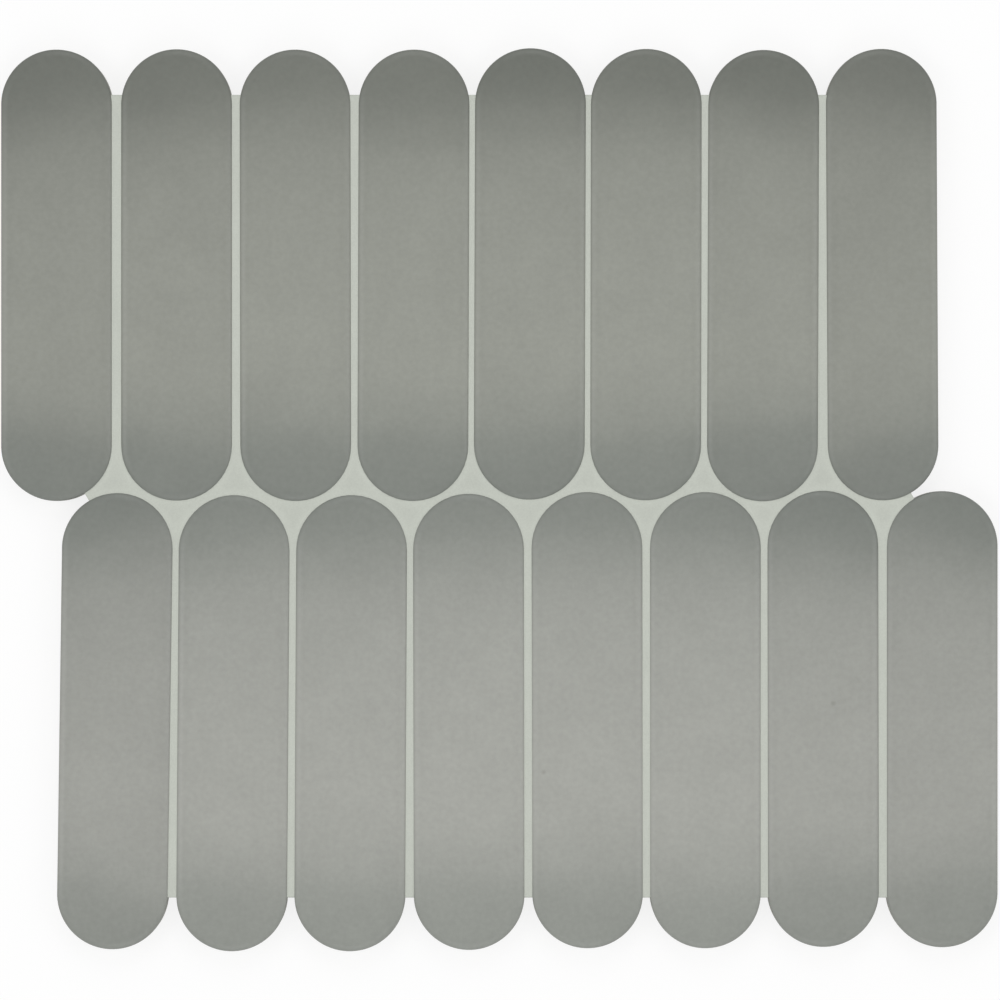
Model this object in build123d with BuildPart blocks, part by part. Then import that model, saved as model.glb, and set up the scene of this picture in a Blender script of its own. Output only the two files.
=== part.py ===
from build123d import *
from math import sqrt
import os

# A sheet of long mosaic tiles with half-round ends, laid in two rows. The lower row stands half a
# step to the right, so its round ends lie in the hollows between those of the upper row, and a pale
# grout in the joints holds the tiles together. The sheet lies face up: X runs along the rows, Y up
# the sheet from the lower row to the upper, and the origin is under the middle of the back.
# All sizes are in millimetres.

# One tile
tile_width = 32.8
tile_length = 133.8
lower_row_longer = 1.4  # the tiles of the lower row came out of the kiln this much longer
tile_thickness = 8.0
edge_roll_width = 2.4  # how far in from the outline the face begins to roll down
edge_roll_drop = 0.8  # how far it has come down where it meets the side
edge_roll_flats = 2  # the roll is cut as this many flats, all chords of one arc
back_chamfer = 0.4

# The pattern
tiles_in_row = 8
side_joint = 2.2  # between the long sides of two neighbours
row_joint = 2.4  # between two round ends of the upper and lower row, where they come nearest

# The grout
grout_recess = 0.1  # below the line where the rolled edge meets the side
grout_top_reach = 2.9  # how far it runs past the centres of the upper row's outer ends
grout_bottom_reach = 1.1  # how far it runs past the centres of the lower row's outer ends

# How each tile came to lie when the sheet was laid, from left to right: off its place along the
# row, off its place up the sheet, and turned anticlockwise, in degrees
upper_sideways = [0.0, 0.6, 0.8, 0.8, 0.3, -0.3, -0.6, -0.3]
upper_upwards = [-0.1, 0.0, -0.1, -0.1, 0.3, 0.1, -0.2, 0.1]
upper_lean = [0.0, 0.0, 0.1, -0.2, -0.2, -0.1, -0.2, 0.3]
lower_sideways = [-0.2, -0.2, -0.3, -0.3, -0.2, -0.2, -0.3, 0.0]
lower_upwards = [0.0, -0.6, -0.6, -0.2, 0.3, 0.3, 0.7, 0.6]
lower_lean = [-0.8, -0.4, -0.3, 0.1, 0.1, 0.0, 0.1, 0.0]

# Worked out from those sizes
half_width = tile_width / 2
upper_run = tile_length - tile_width  # the straight part of a tile, between the centres of its ends
lower_run = upper_run + lower_row_longer
side_top = tile_thickness - edge_roll_drop
grout_height = side_top - grout_recess
tile_step = tile_width + side_joint
row_step = (upper_run + lower_run) / 2 + sqrt((tile_width + row_joint) ** 2 - (tile_step / 2) ** 2)


def lay_row(middle_x, middle_y, sideways, upwards, lean):
    """The places of one row's tiles, from left to right."""
    places = []
    for column in range(tiles_in_row):
        nudge = column % len(lean)
        steps_from_middle = column - (tiles_in_row - 1) / 2
        x = middle_x + steps_from_middle * tile_step + sideways[nudge]
        y = middle_y + upwards[nudge]
        places.append(Location((x, y, 0), (0, 0, lean[nudge])))
    return places


def top_centre(place, run):
    """The centre of the half-round upper end of the tile at this place."""
    return (place * Location((0, run / 2, 0))).position


def bottom_centre(place, run):
    """The centre of the half-round lower end of the tile at this place."""
    return (place * Location((0, -run / 2, 0))).position


# The laying plan, moved so that the middle of the finished sheet is at the origin
upper_row = lay_row(-tile_step / 4, row_step / 2, upper_sideways, upper_upwards, upper_lean)
lower_row = lay_row(tile_step / 4, -row_step / 2, lower_sideways, lower_upwards, lower_lean)
end_centres = []
for row, run in ((upper_row, upper_run), (lower_row, lower_run)):
    for place in row:
        end_centres += [top_centre(place, run), bottom_centre(place, run)]
end_centres_x = [centre.X for centre in end_centres]
end_centres_y = [centre.Y for centre in end_centres]
sheet_middle_x = (min(end_centres_x) + max(end_centres_x)) / 2
sheet_middle_y = (min(end_centres_y) + max(end_centres_y)) / 2
to_origin = Location((-sheet_middle_x, -sheet_middle_y, 0))
upper_row = [to_origin * place for place in upper_row]
lower_row = [to_origin * place for place in lower_row]

os.makedirs("parts", exist_ok=True)

# Half of a tile's cross-section: flat back, small chamfer, upright side, then the edge that rolls
# out of the face and meets the side at a corner, as a pressed tile's does
face_edge = (half_width - edge_roll_width, tile_thickness)
with BuildSketch(Plane.XZ) as half_section:
    with BuildLine():
        Polyline(
            (0, 0),
            (half_width - back_chamfer, 0),
            (half_width, back_chamfer),
            (half_width, side_top),
        )
        edge_roll = TangentArc(face_edge, (half_width, side_top), tangent=(1, 0), mode=Mode.PRIVATE)
        Polyline([edge_roll @ (flat / edge_roll_flats) for flat in range(edge_roll_flats + 1)])
        Polyline(face_edge, (0, tile_thickness), (0, 0))
    make_face()

for row_name, row, run in (("upper", upper_row, upper_run), ("lower", lower_row, lower_run)):
    # One tile about its own middle: the section run straight, then turned round each end
    with BuildPart() as tile:
        with BuildSketch(Plane.XZ):
            add(half_section.sketch_local)
            mirror(about=Plane.YZ)
        extrude(amount=run / 2, both=True)
        for end in (1, -1):
            end_y = end * run / 2
            with BuildSketch(Plane.XZ.offset(-end_y)):
                add(half_section.sketch_local)
            revolve(axis=Axis((0, end_y, 0), (0, 0, 1)), revolution_arc=end * 180)

    # The tiles of the row, each set down at its place
    for number, place in enumerate(row, start=1):
        with BuildPart() as laid_tile:
            with Locations(place):
                add(tile.part)
        laid_tile.part.label = f"{row_name}_tile_{number}"
        export_step(laid_tile.part, f"parts/{laid_tile.part.label}.step")

# The grout: a plate that ends inside the outermost tiles, with every tile's outline cut out of it.
# It is struck off square at the top and bottom, and straight across the joint between the rows.
grout_top = row_step / 2 + upper_run / 2 + grout_top_reach - sheet_middle_y
grout_bottom = -row_step / 2 - lower_run / 2 - grout_bottom_reach - sheet_middle_y
with BuildPart() as grout:
    with BuildSketch():
        with BuildLine():
            Polyline(
                (top_centre(upper_row[0], upper_run).X, grout_top),
                bottom_centre(upper_row[0], upper_run),
                top_centre(lower_row[0], lower_run),
                (bottom_centre(lower_row[0], lower_run).X, grout_bottom),
                (bottom_centre(lower_row[-1], lower_run).X, grout_bottom),
                top_centre(lower_row[-1], lower_run),
                bottom_centre(upper_row[-1], upper_run),
                (top_centre(upper_row[-1], upper_run).X, grout_top),
                close=True,
            )
        make_face()
        for row, run in ((upper_row, upper_run), (lower_row, lower_run)):
            with Locations(*row):
                SlotOverall(run + tile_width, tile_width, rotation=90, mode=Mode.SUBTRACT)
    extrude(amount=grout_height)
grout.part.label = "joint_grout"
export_step(grout.part, "parts/joint_grout.step")
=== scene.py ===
"""Mosaic tile sheet: glazed tiles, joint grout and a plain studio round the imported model."""

import math
import random

import bmesh
import bpy
from bpy.props import FloatProperty, FloatVectorProperty, IntProperty, PointerProperty
from mathutils import Matrix, Vector, noise


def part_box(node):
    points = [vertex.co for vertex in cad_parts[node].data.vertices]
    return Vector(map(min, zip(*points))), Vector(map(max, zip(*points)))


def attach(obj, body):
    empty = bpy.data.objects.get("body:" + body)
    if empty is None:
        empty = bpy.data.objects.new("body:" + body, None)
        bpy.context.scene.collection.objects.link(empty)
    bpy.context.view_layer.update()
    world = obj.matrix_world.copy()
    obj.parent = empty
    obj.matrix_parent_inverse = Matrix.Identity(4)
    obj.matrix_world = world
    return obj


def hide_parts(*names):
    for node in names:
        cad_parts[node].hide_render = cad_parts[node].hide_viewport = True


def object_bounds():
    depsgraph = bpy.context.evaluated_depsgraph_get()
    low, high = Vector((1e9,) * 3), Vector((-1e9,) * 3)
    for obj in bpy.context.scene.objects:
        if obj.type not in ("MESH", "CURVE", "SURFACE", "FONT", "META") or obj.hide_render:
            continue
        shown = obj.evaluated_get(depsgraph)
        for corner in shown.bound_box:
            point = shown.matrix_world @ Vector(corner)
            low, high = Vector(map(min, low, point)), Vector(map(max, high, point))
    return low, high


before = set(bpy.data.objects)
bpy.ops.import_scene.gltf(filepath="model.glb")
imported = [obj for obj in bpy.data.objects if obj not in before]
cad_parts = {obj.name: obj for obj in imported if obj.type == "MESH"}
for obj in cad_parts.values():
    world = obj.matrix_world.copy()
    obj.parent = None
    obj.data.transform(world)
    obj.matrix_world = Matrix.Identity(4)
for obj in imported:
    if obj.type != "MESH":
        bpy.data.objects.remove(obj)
cad_low, cad_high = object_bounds()

bl_info = {
    "name": "Mosaic Tile Sheet",
    "version": (1, 0, 0),
    "blender": (4, 5, 0),
    "location": "View3D > Sidebar > Mosaic",
    "description": "Models a sheet of long round-ended glazed tiles with filled joints",
    "category": "Add Mesh",
}

MM = 0.001
UPPER_TILES = sorted(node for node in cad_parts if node.startswith("upper_tile"))
LOWER_TILES = sorted(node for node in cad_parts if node.startswith("lower_tile"))
GROUT_NODE = "joint_grout"

# Points nearer than the first are one point, and heights or ends nearer than the second are the same
SAME_POINT = 0.001 * MM
SAME_PLACE = 0.01 * MM
# Edges that turn by more than this stay sharp
SHARP_ANGLE = math.radians(35)

# Starts the draws by which the tiles differ in tone
FIRING_SEED = 3157249
# What a tile's vertices tell its glaze
GLAZE_LAYERS = ("along", "inward", "shade", "head_tone")
# Nearly all of a noise texture's values lie between these
NOISE_LOW, NOISE_HIGH = 0.25, 0.75
# Sockets of a Mix node that is set to colours
MIX_FACTOR, MIX_FIRST, MIX_SECOND, MIX_RESULT = 0, 6, 7, 2

# Each softbox's name, the side of the sheet that it hangs on, and its watts
SOFTBOXES = (
    ("left_softbox", (-1, 0), 7),
    ("right_softbox", (1, 0), 6),
    ("upper_softbox", (0, 1), 7),
    ("lower_softbox", (0, -1), 5.5),
)


def linear(hex_colour):
    """An sRGB hex colour as linear red, green and blue."""
    levels = [int(hex_colour[i:i + 2], 16) / 255 for i in (0, 2, 4)]
    return [c / 12.92 if c <= 0.04045 else ((c + 0.055) / 1.055) ** 2.4 for c in levels]


def narrowest(nodes):
    """Width of the node that lies most nearly square to the rows."""
    return min(high.x - low.x for low, high in map(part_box, nodes))


def longest(nodes):
    """Length of the node that lies most nearly square to the rows."""
    return max(high.y - low.y for low, high in map(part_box, nodes))


def colour_property(name, description, hex_colour):
    """A colour that a user can change, with its default as sRGB hex."""
    return FloatVectorProperty(
        name=name, description=description, subtype="COLOR", min=0, max=1, default=linear(hex_colour)
    )


def length_property(name, description, metres):
    """A length that a user can change."""
    return FloatProperty(
        name=name, description=description, default=metres, min=0, precision=5,
        subtype="DISTANCE", unit="LENGTH",
    )


def share_property(name, description, share, lowest=0):
    """A share that a user can change."""
    return FloatProperty(
        name=name, description=description, default=share, min=lowest, max=1, subtype="FACTOR"
    )


class MosaicTileSizes(bpy.types.PropertyGroup):
    """Sizes of one tile, the outer ones as the frame has them."""

    width: length_property(
        "Width", "Across a tile, outline to outline", narrowest(UPPER_TILES + LOWER_TILES)
    )
    upper_length: length_property(
        "Upper length", "Along a tile of the upper row, from one round end to the other", longest(UPPER_TILES)
    )
    lower_length: length_property(
        "Lower length", "Along a tile of the lower row, from one round end to the other", longest(LOWER_TILES)
    )
    thickness: length_property("Thickness", "From the back to the face", cad_high.z - cad_low.z)
    roll_width: length_property("Edge roll width", "How far in the face begins to roll down", 2.4 * MM)
    roll_drop: length_property("Edge roll drop", "How far it comes down before it meets the side", 0.8 * MM)
    arris: length_property("Arris", "Rounding of the corner between the rolled edge and the side", 0.2 * MM)
    back_chamfer: length_property("Back chamfer", "Chamfer round the back", 0.4 * MM)
    waviness: length_property("Waviness", "How far the glazed face dips at its lowest", 0.05 * MM)
    wave_length: length_property("Wave length", "Distance from one dip of the face to the next", 16 * MM)
    end_steps: IntProperty(
        name="End steps", description="Edges round each half-round end", default=40, min=8
    )
    roll_steps: IntProperty(
        name="Roll steps", description="Rings of faces across the rolled edge", default=7, min=2
    )
    face_step: length_property("Face step", "Spacing of the faces inside the rolled edge", 2.7 * MM)


class MosaicGlaze(bpy.types.PropertyGroup):
    """Colours and finish of the tiles."""

    upper_head: colour_property(
        "Upper row, head", "The glaze at the upper end of a tile of the upper row", "686B64"
    )
    upper_middle: colour_property("Upper row, middle", "The glaze in the middle of such a tile", "8E9088")
    upper_foot: colour_property("Upper row, foot", "The glaze at the lower end of such a tile", "777B75")
    lower_head: colour_property(
        "Lower row, head", "The glaze at the upper end of a tile of the lower row", "787C76"
    )
    lower_middle: colour_property("Lower row, middle", "The glaze in the middle of such a tile", "9D9E98")
    lower_foot: colour_property("Lower row, foot", "The glaze at the lower end of such a tile", "888B85")
    body: colour_property("Fired body", "The unglazed clay body, low on the sides and on the back", "A9A69B")
    speck: colour_property("Specks", "Small iron specks in the glaze", "7C7D75")
    roughness: share_property("Roughness", "Of the satin glaze", 0.38)
    # Painted shade, as the light falls off towards the sides of the sheet
    outer_shade: share_property(
        "Outer shade", "Share by which the first and last tile of a row are darker", 0.08
    )
    shade_spread: share_property("Shade spread", "Random share by which a tile's shade is off", 0.02)
    head_spread: share_property(
        "Head spread", "Random share by which a tile's head is darker or paler", 0.1
    )
    head_slide: share_property(
        "Head slide", "Random share of the length by which a head's tone reaches further", 0.03
    )
    foot_slide: share_property(
        "Foot slide", "Random share of the length by which a foot's tone reaches further", 0.04
    )
    upper_reach: share_property(
        "Upper reach", "Share of the length by which the upper row's heads reach further", 0.02, lowest=-1
    )
    lower_reach: share_property(
        "Lower reach", "Share of the length by which the lower row's heads reach further", -0.02, lowest=-1
    )
    bow: share_property(
        "Bow", "How much further the ends' tones reach on the side that faces out of the row", 0.14
    )
    glaze_line: length_property("Glaze line", "Height on the side to which the glaze runs down", 4.6 * MM)


class MosaicGrout(bpy.types.PropertyGroup):
    """Colour and surface of the joint grout."""

    colour: colour_property("Grout", "Pale cement grout", "BEC2B9")
    dish_width: length_property("Dish width", "Over which the grout dips, from each tile", 0.6 * MM)
    dish_depth: length_property(
        "Dish depth", "By which the middle of a joint lies below its edges", 0.15 * MM
    )
    unevenness: length_property(
        "Unevenness", "How far the struck-off surface dips at its lowest", 0.06 * MM
    )
    end_rounding: length_property("End rounding", "Of the edges where the joints end", 0.5 * MM)
    patch_gain: share_property(
        "Patch gain", "How dark the wide patches are, with 1 as in the narrow joints", 0.95
    )


class MosaicStage(bpy.types.PropertyGroup):
    """Floor, light and camera."""

    floor: colour_property("Floor", "Plain white floor", "F8F8F8")
    floor_radius: length_property("Floor radius", "Of the round floor", 6)
    floor_gap: length_property(
        "Floor gap", "A hair of air that keeps the floor and the backs apart", 0.05 * MM
    )
    floor_lift: share_property(
        "Floor lift", "How far the floor is lifted towards white where it is seen", 0.8
    )
    surround: share_property("Surround", "Strength of the even light from all round", 0.74)
    softbox_distance: length_property(
        "Softbox distance", "How far out from the sheet, and how high, each softbox hangs", 1.7
    )
    softbox_size: length_property("Softbox size", "Side of each square softbox", 1.2)
    lens: FloatProperty(
        name="Lens", description="Focal length of the camera in millimetres", default=200, min=1
    )
    view_width: length_property("View width", "Width of the picture at the tiles' outlines", 296.3 * MM)
    view_right: length_property(
        "View right", "How far the view's middle lies right of the sheet's", 0.19 * MM
    )
    view_down: length_property("View down", "How far the view's middle lies below the sheet's", 0.07 * MM)


def add_node(tree, kind, inputs=None, **settings):
    """Add a node with its settings, and fill its inputs with values or with links from other sockets."""
    node = tree.nodes.new(kind)
    for name, value in settings.items():
        setattr(node, name, value)
    for key, value in (inputs or {}).items():
        if isinstance(value, bpy.types.NodeSocket):
            tree.links.new(value, node.inputs[key])
        else:
            node.inputs[key].default_value = value
    return node


def draw_curve(mapping, points):
    """Lay the one curve of a mapping through these points, from left to right."""
    curve = mapping.curves[0]
    curve.points[0].location = points[0]
    curve.points[1].location = points[-1]
    for point in points[1:-1]:
        curve.points.new(*point)
    mapping.update()


def new_material(name):
    """An empty node material and its tree."""
    material = bpy.data.materials.new(name)
    material.use_nodes = True
    material.node_tree.nodes.clear()
    return material, material.node_tree


def grain(tree, place, size, detail, low, high):
    """A pattern with grains of about this size: its plain value, and the same as a gain from low to high."""
    pattern = add_node(tree, "ShaderNodeTexNoise", {"Vector": place, "Scale": 1 / size, "Detail": detail})
    gain = add_node(
        tree, "ShaderNodeMapRange",
        {0: pattern.outputs["Fac"], 1: NOISE_LOW, 2: NOISE_HIGH, 3: low, 4: high},
    )
    return pattern.outputs["Fac"], gain.outputs[0]


def satin_glaze_on_stoneware(name, head, middle, foot, look):
    """Satin glaze, sprayed on and fired: a soft broad sheen, paler in the middle of a tile than at its ends.

    The glaze has a faint mottle and a few iron specks, thins to a darker line where it breaks over the
    edge, with painted shade over the rolled edge, and ends part of the way down the side, where the
    matt, finely porous clay body shows.
    """
    material, tree = new_material(name)
    place = add_node(tree, "ShaderNodeTexCoord").outputs["Object"]
    along, inward, shade, head_tone = (
        add_node(tree, "ShaderNodeAttribute", attribute_name=layer).outputs["Fac"] for layer in GLAZE_LAYERS
    )

    # From the head of a tile, at 0, to its foot, at 1: how much of the glaze of either end shows
    head_profile = add_node(tree, "ShaderNodeFloatCurve", {"Value": along})
    draw_curve(head_profile.mapping, ((0, 1), (0.05, 0.95), (0.15, 0.62), (0.3, 0.2), (0.6, 0), (1, 0)))
    foot_profile = add_node(tree, "ShaderNodeFloatCurve", {"Value": along})
    draw_curve(foot_profile.mapping, ((0, 0), (0.65, 0), (0.8, 0.32), (0.91, 0.88), (1, 1)))
    head_share = add_node(
        tree, "ShaderNodeMath", {0: head_profile.outputs[0], 1: head_tone}, operation="MULTIPLY"
    )
    upper_part = add_node(
        tree, "ShaderNodeMix",
        {MIX_FACTOR: head_share.outputs[0], MIX_FIRST: (*middle, 1), MIX_SECOND: (*head, 1)},
        data_type="RGBA", clamp_factor=False,
    )
    tone = add_node(
        tree, "ShaderNodeMix",
        {
            MIX_FACTOR: foot_profile.outputs[0],
            MIX_FIRST: upper_part.outputs[MIX_RESULT],
            MIX_SECOND: (*foot, 1),
        },
        data_type="RGBA",
    ).outputs[MIX_RESULT]

    # Mottle: fine flecks over soft clouds
    flecks, fleck_gain = grain(tree, place, size=1.5 * MM, detail=3, low=0.95, high=1.05)
    clouds, cloud_gain = grain(tree, place, size=14 * MM, detail=2, low=0.97, high=1.03)

    # Painted shade on the rolled edge, darkest at the rim where the glaze also thins, damping its highlight
    edge_reach = 5 * MM
    edge_place = add_node(
        tree, "ShaderNodeMath", {0: inward, 1: edge_reach}, operation="DIVIDE", use_clamp=True
    )
    painted_rim_shade = add_node(tree, "ShaderNodeFloatCurve", {"Value": edge_place.outputs[0]})
    draw_curve(painted_rim_shade.mapping, ((0, 0.935), (0.12, 0.955), (0.26, 0.98), (0.5, 0.982), (0.8, 1), (1, 1)))
    gain = fleck_gain
    for factor in (cloud_gain, painted_rim_shade.outputs[0], shade):
        gain = add_node(tree, "ShaderNodeMath", {0: gain, 1: factor}, operation="MULTIPLY").outputs[0]
    glaze = add_node(tree, "ShaderNodeVectorMath", {0: tone, "Scale": gain}, operation="SCALE")

    # Iron specks that fade outwards, one in a few of the cells of a 20 mm pattern
    cell = 20 * MM
    speck_heart = 0.1 * MM
    speck_reach = 1.1 * MM
    speck_strength = 0.45
    speck_rarity = 0.84
    cells = add_node(
        tree, "ShaderNodeTexVoronoi", {"Vector": place, "Scale": 1 / cell}, voronoi_dimensions="2D"
    )
    near = add_node(
        tree, "ShaderNodeMapRange",
        {0: cells.outputs["Distance"], 1: speck_heart / cell, 2: speck_reach / cell, 3: speck_strength, 4: 0},
        interpolation_type="SMOOTHSTEP",
    )
    chosen = add_node(
        tree, "ShaderNodeMath", {0: cells.outputs["Color"], 1: speck_rarity}, operation="GREATER_THAN"
    )
    specks = add_node(
        tree, "ShaderNodeMath", {0: near.outputs[0], 1: chosen.outputs[0]}, operation="MULTIPLY"
    )
    specked = add_node(
        tree, "ShaderNodeMix",
        {MIX_FACTOR: specks.outputs[0], MIX_FIRST: glaze.outputs[0], MIX_SECOND: (*look.speck, 1)},
        data_type="RGBA",
    )

    # The clay body below the glaze line, which wanders by about half a millimetre
    line_wander = 0.6 * MM
    line_blur = 0.12 * MM
    height = add_node(tree, "ShaderNodeSeparateXYZ", {0: place}).outputs["Z"]
    wander = add_node(tree, "ShaderNodeTexNoise", {"Vector": place, "Scale": 1 / (6 * MM), "Detail": 2})
    line = add_node(
        tree, "ShaderNodeMapRange",
        {
            0: wander.outputs["Fac"], 1: 0.2, 2: 0.8,
            3: look.glaze_line - line_wander, 4: look.glaze_line + line_wander,
        },
    )
    above = add_node(tree, "ShaderNodeMath", {0: height, 1: line.outputs[0]}, operation="SUBTRACT")
    bare = add_node(
        tree, "ShaderNodeMapRange",
        {0: above.outputs[0], 1: -line_blur, 2: line_blur, 3: 1, 4: 0},
        interpolation_type="SMOOTHSTEP",
    ).outputs[0]
    pores, pore_gain = grain(tree, place, size=0.6 * MM, detail=4, low=0.86, high=1.1)
    body = add_node(tree, "ShaderNodeVectorMath", {0: look.body, "Scale": pore_gain}, operation="SCALE")
    colour = add_node(
        tree, "ShaderNodeMix",
        {MIX_FACTOR: bare, MIX_FIRST: specked.outputs[MIX_RESULT], MIX_SECOND: body.outputs[0]},
        data_type="RGBA",
    )

    # Sheen: satin with slow changes on the glaze, matt on the body
    sheen_spread = 0.04
    body_roughness = 0.85
    sheen = add_node(
        tree, "ShaderNodeMapRange",
        {
            0: clouds, 1: NOISE_LOW, 2: NOISE_HIGH,
            3: look.roughness - sheen_spread, 4: look.roughness + sheen_spread,
        },
    )
    roughness = add_node(
        tree, "ShaderNodeMapRange", {0: bare, 1: 0, 2: 1, 3: sheen.outputs[0], 4: body_roughness}
    )

    # Relief: a slight one of flecks in the glaze, a deeper one of pores in the body
    glaze_relief = 0.12
    body_relief = 0.7
    relief = add_node(tree, "ShaderNodeMapRange", {0: bare, 1: 0, 2: 1, 3: flecks, 4: pores})
    bump_depth = add_node(
        tree, "ShaderNodeMapRange", {0: bare, 1: 0, 2: 1, 3: glaze_relief, 4: body_relief}
    )
    bump = add_node(
        tree, "ShaderNodeBump",
        {"Height": relief.outputs[0], "Strength": bump_depth.outputs[0], "Distance": 0.05 * MM},
    )
    surface = add_node(
        tree, "ShaderNodeBsdfPrincipled",
        {
            "Base Color": colour.outputs[MIX_RESULT],
            "Roughness": roughness.outputs[0],
            "IOR": 1.5,
            "Normal": bump.outputs[0],
        },
    )
    add_node(tree, "ShaderNodeOutputMaterial", {"Surface": surface.outputs[0]})
    return material


def sanded_cement_grout(look):
    """Cement grout with fine sand, wiped off with a sponge: chalky and matt, with a slight grain."""
    material, tree = new_material("sanded_cement_grout")
    place = add_node(tree, "ShaderNodeTexCoord").outputs["Object"]
    # The sand is about 0.2 mm, drawn at 0.45 mm so that it shows in the render
    sand, sand_gain = grain(tree, place, size=0.45 * MM, detail=2, low=0.955, high=1.045)
    _, wiped_gain = grain(tree, place, size=9 * MM, detail=2, low=0.98, high=1.02)

    # Wide patches dry a little darker than the narrow joints, by the distance from the nearest tile
    joint_reach = 1 * MM
    patch_reach = 2.5 * MM
    from_tile = add_node(tree, "ShaderNodeAttribute", attribute_name="from_tile").outputs["Fac"]
    patch_gain = add_node(
        tree, "ShaderNodeMapRange", {0: from_tile, 1: joint_reach, 2: patch_reach, 3: 1, 4: look.patch_gain}
    )
    gain = sand_gain
    for factor in (wiped_gain, patch_gain.outputs[0]):
        gain = add_node(tree, "ShaderNodeMath", {0: gain, 1: factor}, operation="MULTIPLY").outputs[0]
    colour = add_node(tree, "ShaderNodeVectorMath", {0: look.colour, "Scale": gain}, operation="SCALE")
    bump = add_node(tree, "ShaderNodeBump", {"Height": sand, "Strength": 0.5, "Distance": 0.06 * MM})
    surface = add_node(
        tree, "ShaderNodeBsdfPrincipled",
        {"Base Color": colour.outputs[0], "Roughness": 0.9, "IOR": 1.5, "Normal": bump.outputs[0]},
    )
    add_node(tree, "ShaderNodeOutputMaterial", {"Surface": surface.outputs[0]})
    return material


def seen_directly(tree):
    """1 for what is seen, straight or in gloss or through glass, and 0 for what only gives light."""
    rays = add_node(tree, "ShaderNodeLightPath").outputs
    straight_or_gloss = add_node(
        tree, "ShaderNodeMath", {0: rays["Is Camera Ray"], 1: rays["Is Glossy Ray"]}, operation="ADD"
    )
    return add_node(
        tree, "ShaderNodeMath", {0: straight_or_gloss.outputs[0], 1: rays["Is Transmission Ray"]},
        operation="ADD", use_clamp=True,
    ).outputs[0]


def white_floor_paper(look):
    """Matt white paper, lifted towards white where it is seen, so that only a faint shadow stays."""
    material, tree = new_material("white_floor_paper")
    paper = add_node(tree, "ShaderNodeBsdfDiffuse", {"Color": (*look.floor, 1)})
    white = add_node(tree, "ShaderNodeEmission", {"Strength": 1})
    lift = add_node(
        tree, "ShaderNodeMath", {0: seen_directly(tree), 1: look.floor_lift}, operation="MULTIPLY"
    )
    mixed = add_node(
        tree, "ShaderNodeMixShader", {0: lift.outputs[0], 1: paper.outputs[0], 2: white.outputs[0]}
    )
    add_node(tree, "ShaderNodeOutputMaterial", {"Surface": mixed.outputs[0]})
    return material


def studio_world(look):
    """A white surround that gives part of the light evenly, and is plain white where it is seen."""
    world = bpy.data.worlds.new("white_studio")
    world.use_nodes = True
    tree = world.node_tree
    tree.nodes.clear()
    strength = add_node(
        tree, "ShaderNodeMapRange", {0: seen_directly(tree), 1: 0, 2: 1, 3: look.surround, 4: 1}
    )
    surround = add_node(
        tree, "ShaderNodeBackground", {"Color": (1, 1, 1, 1), "Strength": strength.outputs[0]}
    )
    add_node(tree, "ShaderNodeOutputWorld", {"Surface": surround.outputs[0]})
    return world


def tile_place(node):
    """Where a tile of the frame lies: its middle, in the plane of its back, and its lean from Y.

    The lean is anticlockwise seen from above.
    """
    low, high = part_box(node)
    middle = Vector(((low.x + high.x) / 2, (low.y + high.y) / 2, low.z))
    # A corner that several facets share counts once, so places are rounded to a micrometre
    corners = {
        (round(vert.co.x - middle.x, 6), round(vert.co.y - middle.y, 6))
        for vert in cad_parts[node].data.vertices
    }
    across = sum(x * x for x, y in corners)
    lengthwise = sum(y * y for x, y in corners)
    both = sum(x * y for x, y in corners)
    return middle, 0.5 * math.atan2(-2 * both, lengthwise - across)


def inside_outline(point, middle, lean, length, width):
    """How far inside a tile's outline a point lies, seen from above, and less than 0 outside it."""
    flat = Matrix.Rotation(-lean, 2) @ (point - middle).to_2d()
    past_run = max(abs(flat.y) - (length - width) / 2, 0)
    return width / 2 - math.hypot(flat.x, past_run)


def inset(bm, face, thickness, depth):
    """Set a face in from its outline, and out along its normal by the depth."""
    bmesh.ops.inset_region(
        bm, faces=[face], use_boundary=True, use_even_offset=True, thickness=thickness, depth=depth
    )


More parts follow.
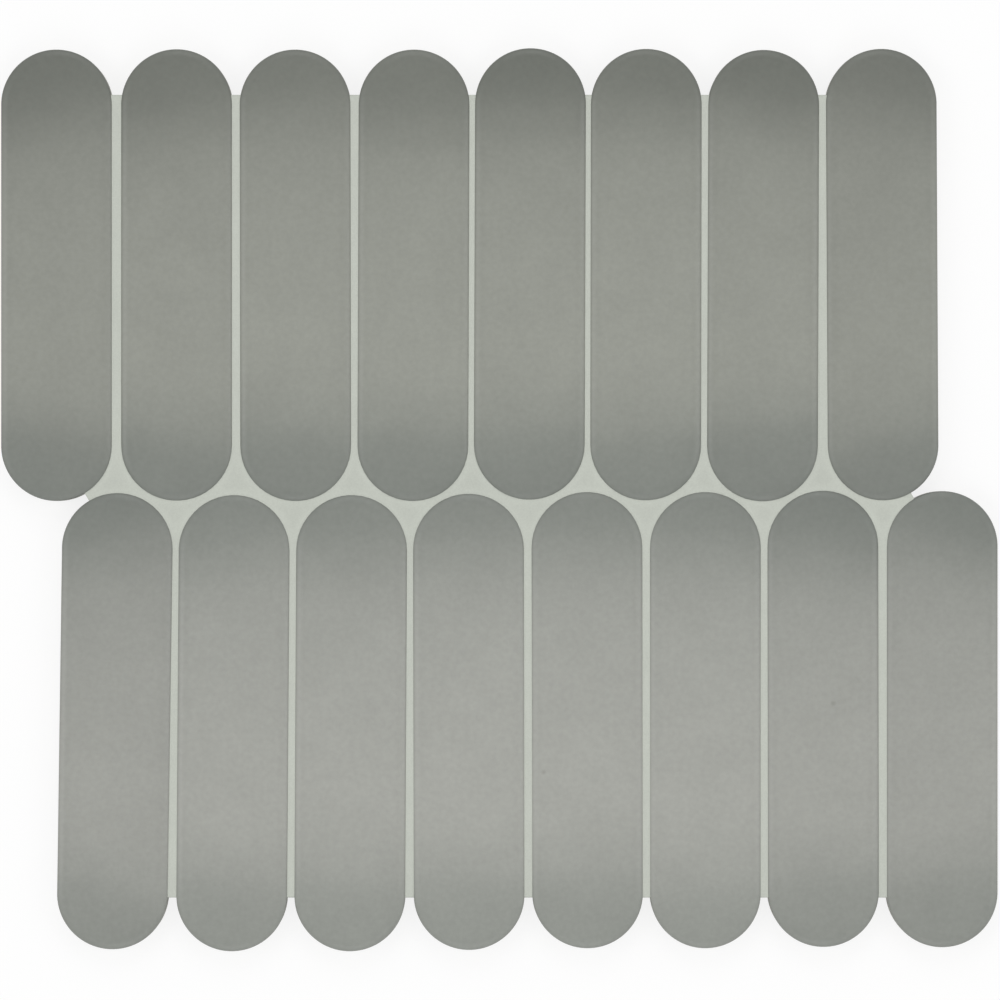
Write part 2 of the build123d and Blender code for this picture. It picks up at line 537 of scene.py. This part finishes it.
def model_tile(sizes, length):
    """One tile about its own middle, lying along Y with its back at Z = 0."""
    bm = bmesh.new()
    straight_run = length - sizes.width
    side_top = sizes.thickness - sizes.roll_drop

    # The outline, half a circle pulled out to each end, raised into the sides
    turn = Matrix.Rotation(math.pi / (2 * sizes.end_steps), 4, "Z")
    bmesh.ops.create_circle(
        bm, cap_ends=True, segments=2 * sizes.end_steps, radius=sizes.width / 2,
        matrix=Matrix.Translation((0, 0, sizes.back_chamfer)) @ turn,
    )
    for end in (1, -1):
        end_verts = [vert for vert in bm.verts if vert.co.y * end > 0]
        bmesh.ops.translate(bm, verts=end_verts, vec=(0, end * straight_run / 2, 0))
    back = bm.faces[:][0]
    raised = bmesh.ops.extrude_face_region(bm, geom=[back], use_keep_orig=True)["geom"]
    face = next(item for item in raised if isinstance(item, bmesh.types.BMFace))
    bmesh.ops.translate(bm, verts=face.verts[:], vec=(0, 0, side_top - sizes.back_chamfer))
    bmesh.ops.recalc_face_normals(bm, faces=bm.faces[:])

    # The chamfer round the back, then the roll of the edge: rings that follow one arc into the face
    inset(bm, back, sizes.back_chamfer, sizes.back_chamfer)
    roll_radius = (sizes.roll_width ** 2 + sizes.roll_drop ** 2) / (2 * sizes.roll_drop)
    rim_angle = math.asin(sizes.roll_width / roll_radius)
    for ring in range(sizes.roll_steps):
        outer = rim_angle * (1 - ring / sizes.roll_steps)
        inner = rim_angle * (1 - (ring + 1) / sizes.roll_steps)
        ring_width = roll_radius * (math.sin(outer) - math.sin(inner))
        ring_rise = roll_radius * (math.cos(inner) - math.cos(outer))
        inset(bm, face, ring_width, ring_rise)
    flat_half_width = sizes.width / 2 - sizes.roll_width
    face_rings = int(flat_half_width / sizes.face_step)
    for ring in range(face_rings):
        inset(bm, face, sizes.face_step, 0)

    # The corner where the rolled edge meets the side, softened by the glaze
    rim = [edge for edge in bm.edges if all(abs(vert.co.z - side_top) < SAME_PLACE for vert in edge.verts)]
    bmesh.ops.bevel(
        bm, geom=rim, offset=sizes.arris, offset_type="OFFSET", segments=3, profile=0.5,
        affect="EDGES", material=-1,
    )

    # Cuts across the straight run, so that the long faces can follow the glaze's waves
    cuts = int(straight_run / sizes.face_step)
    for cut in range(cuts + 1):
        y = straight_run * (cut / cuts - 0.5)
        bmesh.ops.bisect_plane(
            bm, geom=bm.verts[:] + bm.edges[:] + bm.faces[:], dist=SAME_POINT,
            plane_co=(0, y, 0), plane_no=(0, 1, 0),
        )
    return bm


def shade_smooth(bm):
    """Smooth shading, broken at sharp edges."""
    for face in bm.faces:
        face.smooth = True
    for edge in bm.edges:
        edge.smooth = not edge.is_manifold or edge.calc_face_angle() < SHARP_ANGLE


def add_piece(name, bm, material, node):
    """Turn a finished bmesh into a piece that stands for a node of the frame."""
    mesh = bpy.data.meshes.new(name)
    bm.to_mesh(mesh)
    bm.free()
    mesh.materials.append(material)
    piece = bpy.data.objects.new(name, mesh)
    bpy.context.scene.collection.objects.link(piece)
    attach(piece, "root")
    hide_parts(node)
    return piece


class MOSAIC_OT_lay_tiles(bpy.types.Operator):
    """Model the glazed tiles and lay each at its place in the sheet"""

    bl_idname = "mosaic.lay_tiles"
    bl_label = "Lay Glazed Tiles"

    def execute(self, context):
        sizes = context.scene.mosaic_tile_sizes
        look = context.scene.mosaic_glaze
        # Two glazes: the upper row's darker than the lower row's, and in each a tile's head darker than its
        # foot
        darker = satin_glaze_on_stoneware(
            "satin_glaze_upper_row", look.upper_head, look.upper_middle, look.upper_foot, look
        )
        paler = satin_glaze_on_stoneware(
            "satin_glaze_lower_row", look.lower_head, look.lower_middle, look.lower_foot, look
        )
        draw = random.Random(FIRING_SEED)
        for row, length, glaze, reach in (
            (UPPER_TILES, sizes.upper_length, darker, look.upper_reach),
            (LOWER_TILES, sizes.lower_length, paler, look.lower_reach),
        ):
            for column, node in enumerate(row):
                from_middle = 2 * column / max(len(row) - 1, 1) - 1
                # Painted shade: the tiles darken towards both ends of a row, as the light falls off towards
                # the sides
                painted_side_shade = 1 - look.outer_shade * abs(from_middle) ** 3
                tone_and_shade = {
                    "shade": painted_side_shade * (1 + draw.uniform(-look.shade_spread, look.shade_spread)),
                    "head_tone": 1 + draw.uniform(-look.head_spread, look.head_spread),
                    "head_slide": draw.uniform(-look.head_slide, look.head_slide) - reach,
                    "foot_slide": draw.uniform(-look.foot_slide, look.foot_slide),
                    "bow": look.bow * from_middle / sizes.width,
                }
                self.lay(node, sizes, length, glaze, tone_and_shade)
        return {"FINISHED"}

    def lay(self, node, sizes, length, glaze, tone_and_shade):
        """Lay one tile, with its own waves and the values that its glaze reads."""
        bm = model_tile(sizes, length)
        layers = {name: bm.verts.layers.float.new(name) for name in GLAZE_LAYERS}
        middle, lean = tile_place(node)
        to_place = Matrix.Translation(middle) @ Matrix.Rotation(lean, 4, "Z")
        for vert in bm.verts:
            inward = inside_outline(vert.co, Vector((0, 0, 0)), 0, length, sizes.width)
            along = 0.5 - vert.co.y / length * (1 + tone_and_shade["bow"] * vert.co.x)
            along += tone_and_shade["head_slide"] * (1 - along) + tone_and_shade["foot_slide"] * along
            vert[layers["along"]] = min(max(along, 0), 1)
            vert[layers["inward"]] = max(inward, 0)
            vert[layers["shade"]] = tone_and_shade["shade"]
            vert[layers["head_tone"]] = tone_and_shade["head_tone"]
            if vert.co.z > sizes.thickness - sizes.roll_drop:
                on_face = min(inward / sizes.roll_width, 1)
                wave = noise.noise((to_place @ vert.co) / sizes.wave_length)
                vert.co.z -= sizes.waviness * on_face * (0.5 + 0.5 * wave)
        bmesh.ops.transform(bm, matrix=to_place, verts=bm.verts[:])
        shade_smooth(bm)
        add_piece(f"glazed_{node}", bm, glaze, node)


class MOSAIC_OT_fill_joints(bpy.types.Operator):
    """Model the grout that fills the joints between the tiles"""

    bl_idname = "mosaic.fill_joints"
    bl_label = "Fill Joints with Grout"

    def execute(self, context):
        look = context.scene.mosaic_grout
        low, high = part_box(GROUT_NODE)
        bm = self.plain_web(low, high)
        self.dish_surface(bm, look)
        self.cut_surface(bm, look, low, high)
        self.wear_surface(bm, look, context.scene.mosaic_tile_sizes, low, high)
        shade_smooth(bm)
        add_piece("joint_fill", bm, sanded_cement_grout(look), GROUT_NODE)
        return {"FINISHED"}

    def plain_web(self, low, high):
        """The frame's grout as one closed mesh with large faces."""
        bm = bmesh.new()
        bm.from_mesh(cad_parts[GROUT_NODE].data)
        bmesh.ops.remove_doubles(bm, verts=bm.verts[:], dist=SAME_POINT)
        bmesh.ops.dissolve_limit(
            bm, angle_limit=math.radians(1), verts=bm.verts[:], edges=bm.edges[:],
            use_dissolve_boundaries=False,
        )
        # The short facets beside the joints' open ends would fold over in the rings of the dish
        upright_height = 1 * MM
        beside_end = 1 * MM
        uprights = [
            edge for edge in bm.edges
            if abs(edge.verts[0].co.z - edge.verts[1].co.z) > upright_height
            and SAME_PLACE < min(edge.verts[0].co.y - low.y, high.y - edge.verts[0].co.y) < beside_end
        ]
        bmesh.ops.dissolve_edges(bm, edges=uprights, use_verts=True)
        bmesh.ops.dissolve_verts(bm, verts=[vert for vert in bm.verts if len(vert.link_edges) == 2])
        return bm

    def dish_surface(self, bm, look):
        """Let the surface dip from the tiles to the middle of the joint, in two rings."""
        top = max(bm.faces, key=lambda face: face.calc_center_median().z)
        if top.normal.z < 0.99:
            raise RuntimeError("the grout's upper face wasn't found")
        for depth_share in (0.65, 0.35):
            inset(bm, top, look.dish_width / 2, -look.dish_depth * depth_share)
        bmesh.ops.triangulate(bm, faces=[top])

    def cut_surface(self, bm, look, low, high):
        """Cut the surface so that it can be uneven, and more closely where its open ends are rubbed round."""
        spacing = 2 * MM
        cuts = [("x", low.x + cut * spacing) for cut in range(1, int((high.x - low.x) / spacing))]
        cuts += [("y", low.y + cut * spacing) for cut in range(1, int((high.y - low.y) / spacing))]
        for angle in (22.5, 45, 67.5, 90):
            from_end = look.end_rounding * (1 - math.cos(math.radians(angle)))
            cuts += [("y", low.y + from_end), ("y", high.y - from_end)]
        for axis, at in cuts:
            across = Vector((axis == "x", axis == "y", 0))
            upper = [face for face in bm.faces if face.normal.z > 0.5]
            geom = {item for face in upper for item in (face, *face.edges, *face.verts)}
            bmesh.ops.bisect_plane(
                bm, geom=list(geom), dist=SAME_POINT, plane_co=across * at, plane_no=across
            )

    def wear_surface(self, bm, look, sizes, low, high):
        """Lower the surface unevenly and round its open ends, and note each point's distance from a tile."""
        wave_length = 5 * MM
        from_tile = bm.verts.layers.float.new("from_tile")
        tiles = [(*tile_place(node), sizes.upper_length) for node in UPPER_TILES]
        tiles += [(*tile_place(node), sizes.lower_length) for node in LOWER_TILES]
        for vert in bm.verts:
            vert[from_tile] = min(-inside_outline(vert.co, *tile, sizes.width) for tile in tiles)
            # From 0 beside a tile to 1 in the middle of a joint, and far more on the underside
            dished = (high.z - vert.co.z) / look.dish_depth
            if dished < 1.5:
                wave = noise.noise(vert.co / wave_length)
                from_end = min(vert.co.y - low.y, high.y - vert.co.y)
                short = max(look.end_rounding - from_end, 0)
                rounding = look.end_rounding - math.sqrt(max(look.end_rounding ** 2 - short ** 2, 0))
                vert.co.z -= rounding + dished * look.unevenness * (0.5 + 0.5 * wave)


class MOSAIC_OT_set_stage(bpy.types.Operator):
    """Set up the floor, the soft light and the camera above the sheet"""

    bl_idname = "mosaic.set_stage"
    bl_label = "Set Stage"

    def execute(self, context):
        scene = context.scene
        look = scene.mosaic_stage
        scene.view_settings.view_transform = "Standard"
        scene.world = studio_world(look)
        self.lay_floor(scene, look)
        middle = (cad_low + cad_high) / 2
        for name, side, watts in SOFTBOXES:
            self.hang_softbox(scene, look, name, Vector((*side, 1)), watts, middle)
        self.set_camera(scene, look, middle)
        return {"FINISHED"}

    def lay_floor(self, scene, look):
        """A round floor just below the backs of the tiles."""
        floor_mesh = bpy.data.meshes.new("studio_floor")
        bm = bmesh.new()
        bmesh.ops.create_circle(bm, cap_ends=True, segments=64, radius=look.floor_radius)
        bm.to_mesh(floor_mesh)
        bm.free()
        floor_mesh.materials.append(white_floor_paper(look))
        floor = bpy.data.objects.new("studio_floor", floor_mesh)
        floor.location.z = cad_low.z - look.floor_gap
        scene.collection.objects.link(floor)

    def hang_softbox(self, scene, look, name, side, watts, target):
        """A square softbox turned towards the sheet."""
        lamp = bpy.data.lights.new(name, "AREA")
        lamp.size = look.softbox_size
        lamp.energy = watts
        softbox = bpy.data.objects.new(name, lamp)
        position = side * look.softbox_distance
        softbox.location = position
        softbox.rotation_euler = (target - position).to_track_quat("-Z", "Y").to_euler()
        scene.collection.objects.link(softbox)

    def set_camera(self, scene, look, middle):
        """A camera that looks straight down, from where the picture has its width at the tiles' outlines."""
        camera_data = bpy.data.cameras.new("above_sheet")
        camera_data.lens = look.lens
        camera_data.clip_end = 100
        camera = bpy.data.objects.new("above_sheet", camera_data)
        scene.collection.objects.link(camera)
        above = look.view_width * look.lens / camera_data.sensor_width
        outline_height = cad_high.z - scene.mosaic_tile_sizes.roll_drop
        camera.location = (middle.x + look.view_right, middle.y - look.view_down, outline_height + above)
        scene.camera = camera


class MOSAIC_PT_sheet(bpy.types.Panel):
    """The sheet's pieces and looks"""

    bl_idname = "MOSAIC_PT_sheet"
    bl_label = "Mosaic Tile Sheet"
    bl_space_type = "VIEW_3D"
    bl_region_type = "UI"
    bl_category = "Mosaic"

    def draw(self, context):
        for operator, group in PANEL_ROWS:
            box = self.layout.box()
            box.operator(operator.bl_idname)
            for attribute in GROUPS[group].__annotations__:
                box.prop(getattr(context.scene, group), attribute)


GROUPS = {
    "mosaic_tile_sizes": MosaicTileSizes,
    "mosaic_glaze": MosaicGlaze,
    "mosaic_grout": MosaicGrout,
    "mosaic_stage": MosaicStage,
}
OPERATORS = (MOSAIC_OT_lay_tiles, MOSAIC_OT_fill_joints, MOSAIC_OT_set_stage)
PANEL_ROWS = (
    (MOSAIC_OT_lay_tiles, "mosaic_tile_sizes"),
    (MOSAIC_OT_lay_tiles, "mosaic_glaze"),
    (MOSAIC_OT_fill_joints, "mosaic_grout"),
    (MOSAIC_OT_set_stage, "mosaic_stage"),
)


def register():
    for cls in (*GROUPS.values(), *OPERATORS, MOSAIC_PT_sheet):
        bpy.utils.register_class(cls)
    for name, group in GROUPS.items():
        setattr(bpy.types.Scene, name, PointerProperty(type=group))


def unregister():
    for name in GROUPS:
        delattr(bpy.types.Scene, name)
    for cls in reversed((*GROUPS.values(), *OPERATORS, MOSAIC_PT_sheet)):
        bpy.utils.unregister_class(cls)


def main():
    register()
    bpy.ops.mosaic.lay_tiles()
    bpy.ops.mosaic.fill_joints()
    bpy.ops.mosaic.set_stage()
    bpy.context.view_layer.update()


if __name__ == "__main__":
    main()
